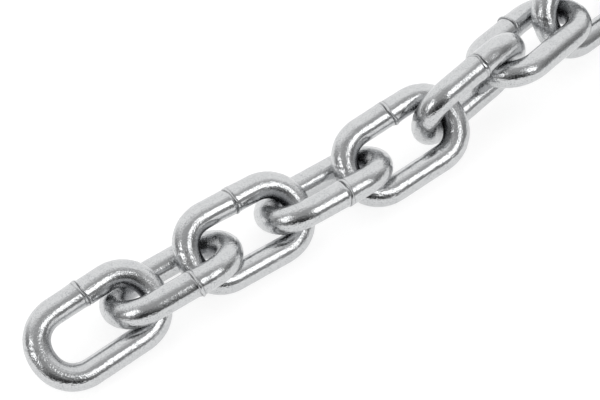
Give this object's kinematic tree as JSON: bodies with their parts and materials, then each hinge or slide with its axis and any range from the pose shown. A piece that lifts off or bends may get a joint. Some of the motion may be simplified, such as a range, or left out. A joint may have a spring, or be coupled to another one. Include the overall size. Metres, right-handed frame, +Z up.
{
  "type": "length of welded short-link steel chain",
  "caption": "Half-metre length of bright zinc-plated welded steel chain of short round links, lying in a loose curve.",
  "frame": {"origin": "middle of the chain's floor plan, on the floor that it lies on", "axes": "+X along the straight run, from its free end towards the curl; +Y to the side that the free end's run lies on; +Z up"},
  "size_m": [0.3058, 0.1924, 0.0293],
  "materials": {
    "zinc_plated_steel": "bright electroplated zinc"
  },
  "bodies": {
    "link_01": {"link_01": "zinc_plated_steel"},
    "link_02": {"link_02": "zinc_plated_steel"},
    "link_03": {"link_03": "zinc_plated_steel"},
    "link_04": {"link_04": "zinc_plated_steel"},
    "link_05": {"link_05": "zinc_plated_steel"},
    "link_06": {"link_06": "zinc_plated_steel"},
    "link_07": {"link_07": "zinc_plated_steel"},
    "link_08": {"link_08": "zinc_plated_steel"},
    "link_09": {"link_09": "zinc_plated_steel"},
    "link_10": {"link_10": "zinc_plated_steel"},
    "link_11": {"link_11": "zinc_plated_steel"},
    "link_12": {"link_12": "zinc_plated_steel"},
    "link_13": {"link_13": "zinc_plated_steel"},
    "link_14": {"link_14": "zinc_plated_steel"},
    "link_15": {"link_15": "zinc_plated_steel"},
    "link_16": {"link_16": "zinc_plated_steel"},
    "link_17": {"link_17": "zinc_plated_steel"},
    "link_18": {"link_18": "zinc_plated_steel"}
  },
  "joints": [
    {"name": "link_02_swing", "type": "hinge", "parent": "link_01", "child": "link_02", "pos_m": [-0.11315, 0.08271, 0.0094], "axis": [0.0072, 0.509, 0.8607], "range_deg": [-75, 75]},
    {"name": "link_03_swing", "type": "hinge", "parent": "link_02", "child": "link_03", "pos_m": [-0.08883, 0.07996, 0.01108], "axis": [0.0064, -0.6176, 0.7865], "range_deg": [-75, 75]},
    {"name": "link_04_swing", "type": "hinge", "parent": "link_03", "child": "link_04", "pos_m": [-0.06344, 0.08076, 0.00916], "axis": [-0.0493, -0.634, -0.7718], "range_deg": [-75, 75]},
    {"name": "link_05_swing", "type": "hinge", "parent": "link_04", "child": "link_05", "pos_m": [-0.03648, 0.07833, 0.00953], "axis": [0.0794, 0.6195, -0.781], "range_deg": [-75, 75]},
    {"name": "link_06_swing", "type": "hinge", "parent": "link_05", "child": "link_06", "pos_m": [-0.00948, 0.0764, 0.01263], "axis": [-0.141, 0.9546, 0.2623], "range_deg": [-75, 75]},
    {"name": "link_07_swing", "type": "hinge", "parent": "link_06", "child": "link_07", "pos_m": [0.01698, 0.07993, 0.01682], "axis": [0.0193, 0.2512, 0.9678], "range_deg": [-75, 75]},
    {"name": "link_08_swing", "type": "hinge", "parent": "link_07", "child": "link_08", "pos_m": [0.04281, 0.08472, 0.01242], "axis": [0.1036, -0.831, 0.5466], "range_deg": [-75, 75]},
    {"name": "link_09_swing", "type": "hinge", "parent": "link_08", "child": "link_09", "pos_m": [0.0699, 0.08433, 0.01063], "axis": [-0.0895, -0.6332, -0.7688], "range_deg": [-75, 75]},
    {"name": "link_10_swing", "type": "hinge", "parent": "link_09", "child": "link_10", "pos_m": [0.0965, 0.07641, 0.01091], "axis": [-0.286, -0.6417, 0.7116], "range_deg": [-75, 75]},
    {"name": "link_11_swing", "type": "hinge", "parent": "link_10", "child": "link_11", "pos_m": [0.11875, 0.06017, 0.01091], "axis": [0.4735, 0.519, 0.7116], "range_deg": [-75, 75]},
    {"name": "link_12_swing", "type": "hinge", "parent": "link_11", "child": "link_12", "pos_m": [0.13476, 0.03776, 0.01091], "axis": [0.6128, 0.3435, -0.7116], "range_deg": [-75, 75]},
    {"name": "link_13_swing", "type": "hinge", "parent": "link_12", "child": "link_13", "pos_m": [0.1429, 0.01144, 0.01091], "axis": [-0.6898, -0.1331, -0.7116], "range_deg": [-75, 75]},
    {"name": "link_14_swing", "type": "hinge", "parent": "link_13", "child": "link_14", "pos_m": [0.14234, -0.01611, 0.01091], "axis": [-0.6966, 0.0908, 0.7116], "range_deg": [-75, 75]},
    {"name": "link_15_swing", "type": "hinge", "parent": "link_14", "child": "link_15", "pos_m": [0.13313, -0.04207, 0.01091], "axis": [0.6326, -0.3055, 0.7116], "range_deg": [-75, 75]},
    {"name": "link_16_swing", "type": "hinge", "parent": "link_15", "child": "link_16", "pos_m": [0.11622, -0.06382, 0.01091], "axis": [0.5043, -0.4891, -0.7116], "range_deg": [-75, 75]},
    {"name": "link_17_swing", "type": "hinge", "parent": "link_16", "child": "link_17", "pos_m": [0.09332, -0.07913, 0.01091], "axis": [-0.3247, 0.623, -0.7116], "range_deg": [-75, 75]},
    {"name": "link_18_swing", "type": "hinge", "parent": "link_17", "child": "link_18", "pos_m": [0.06677, -0.08647, 0.01091], "axis": [-0.112, 0.6936, 0.7116], "range_deg": [-75, 75]}
  ]
}
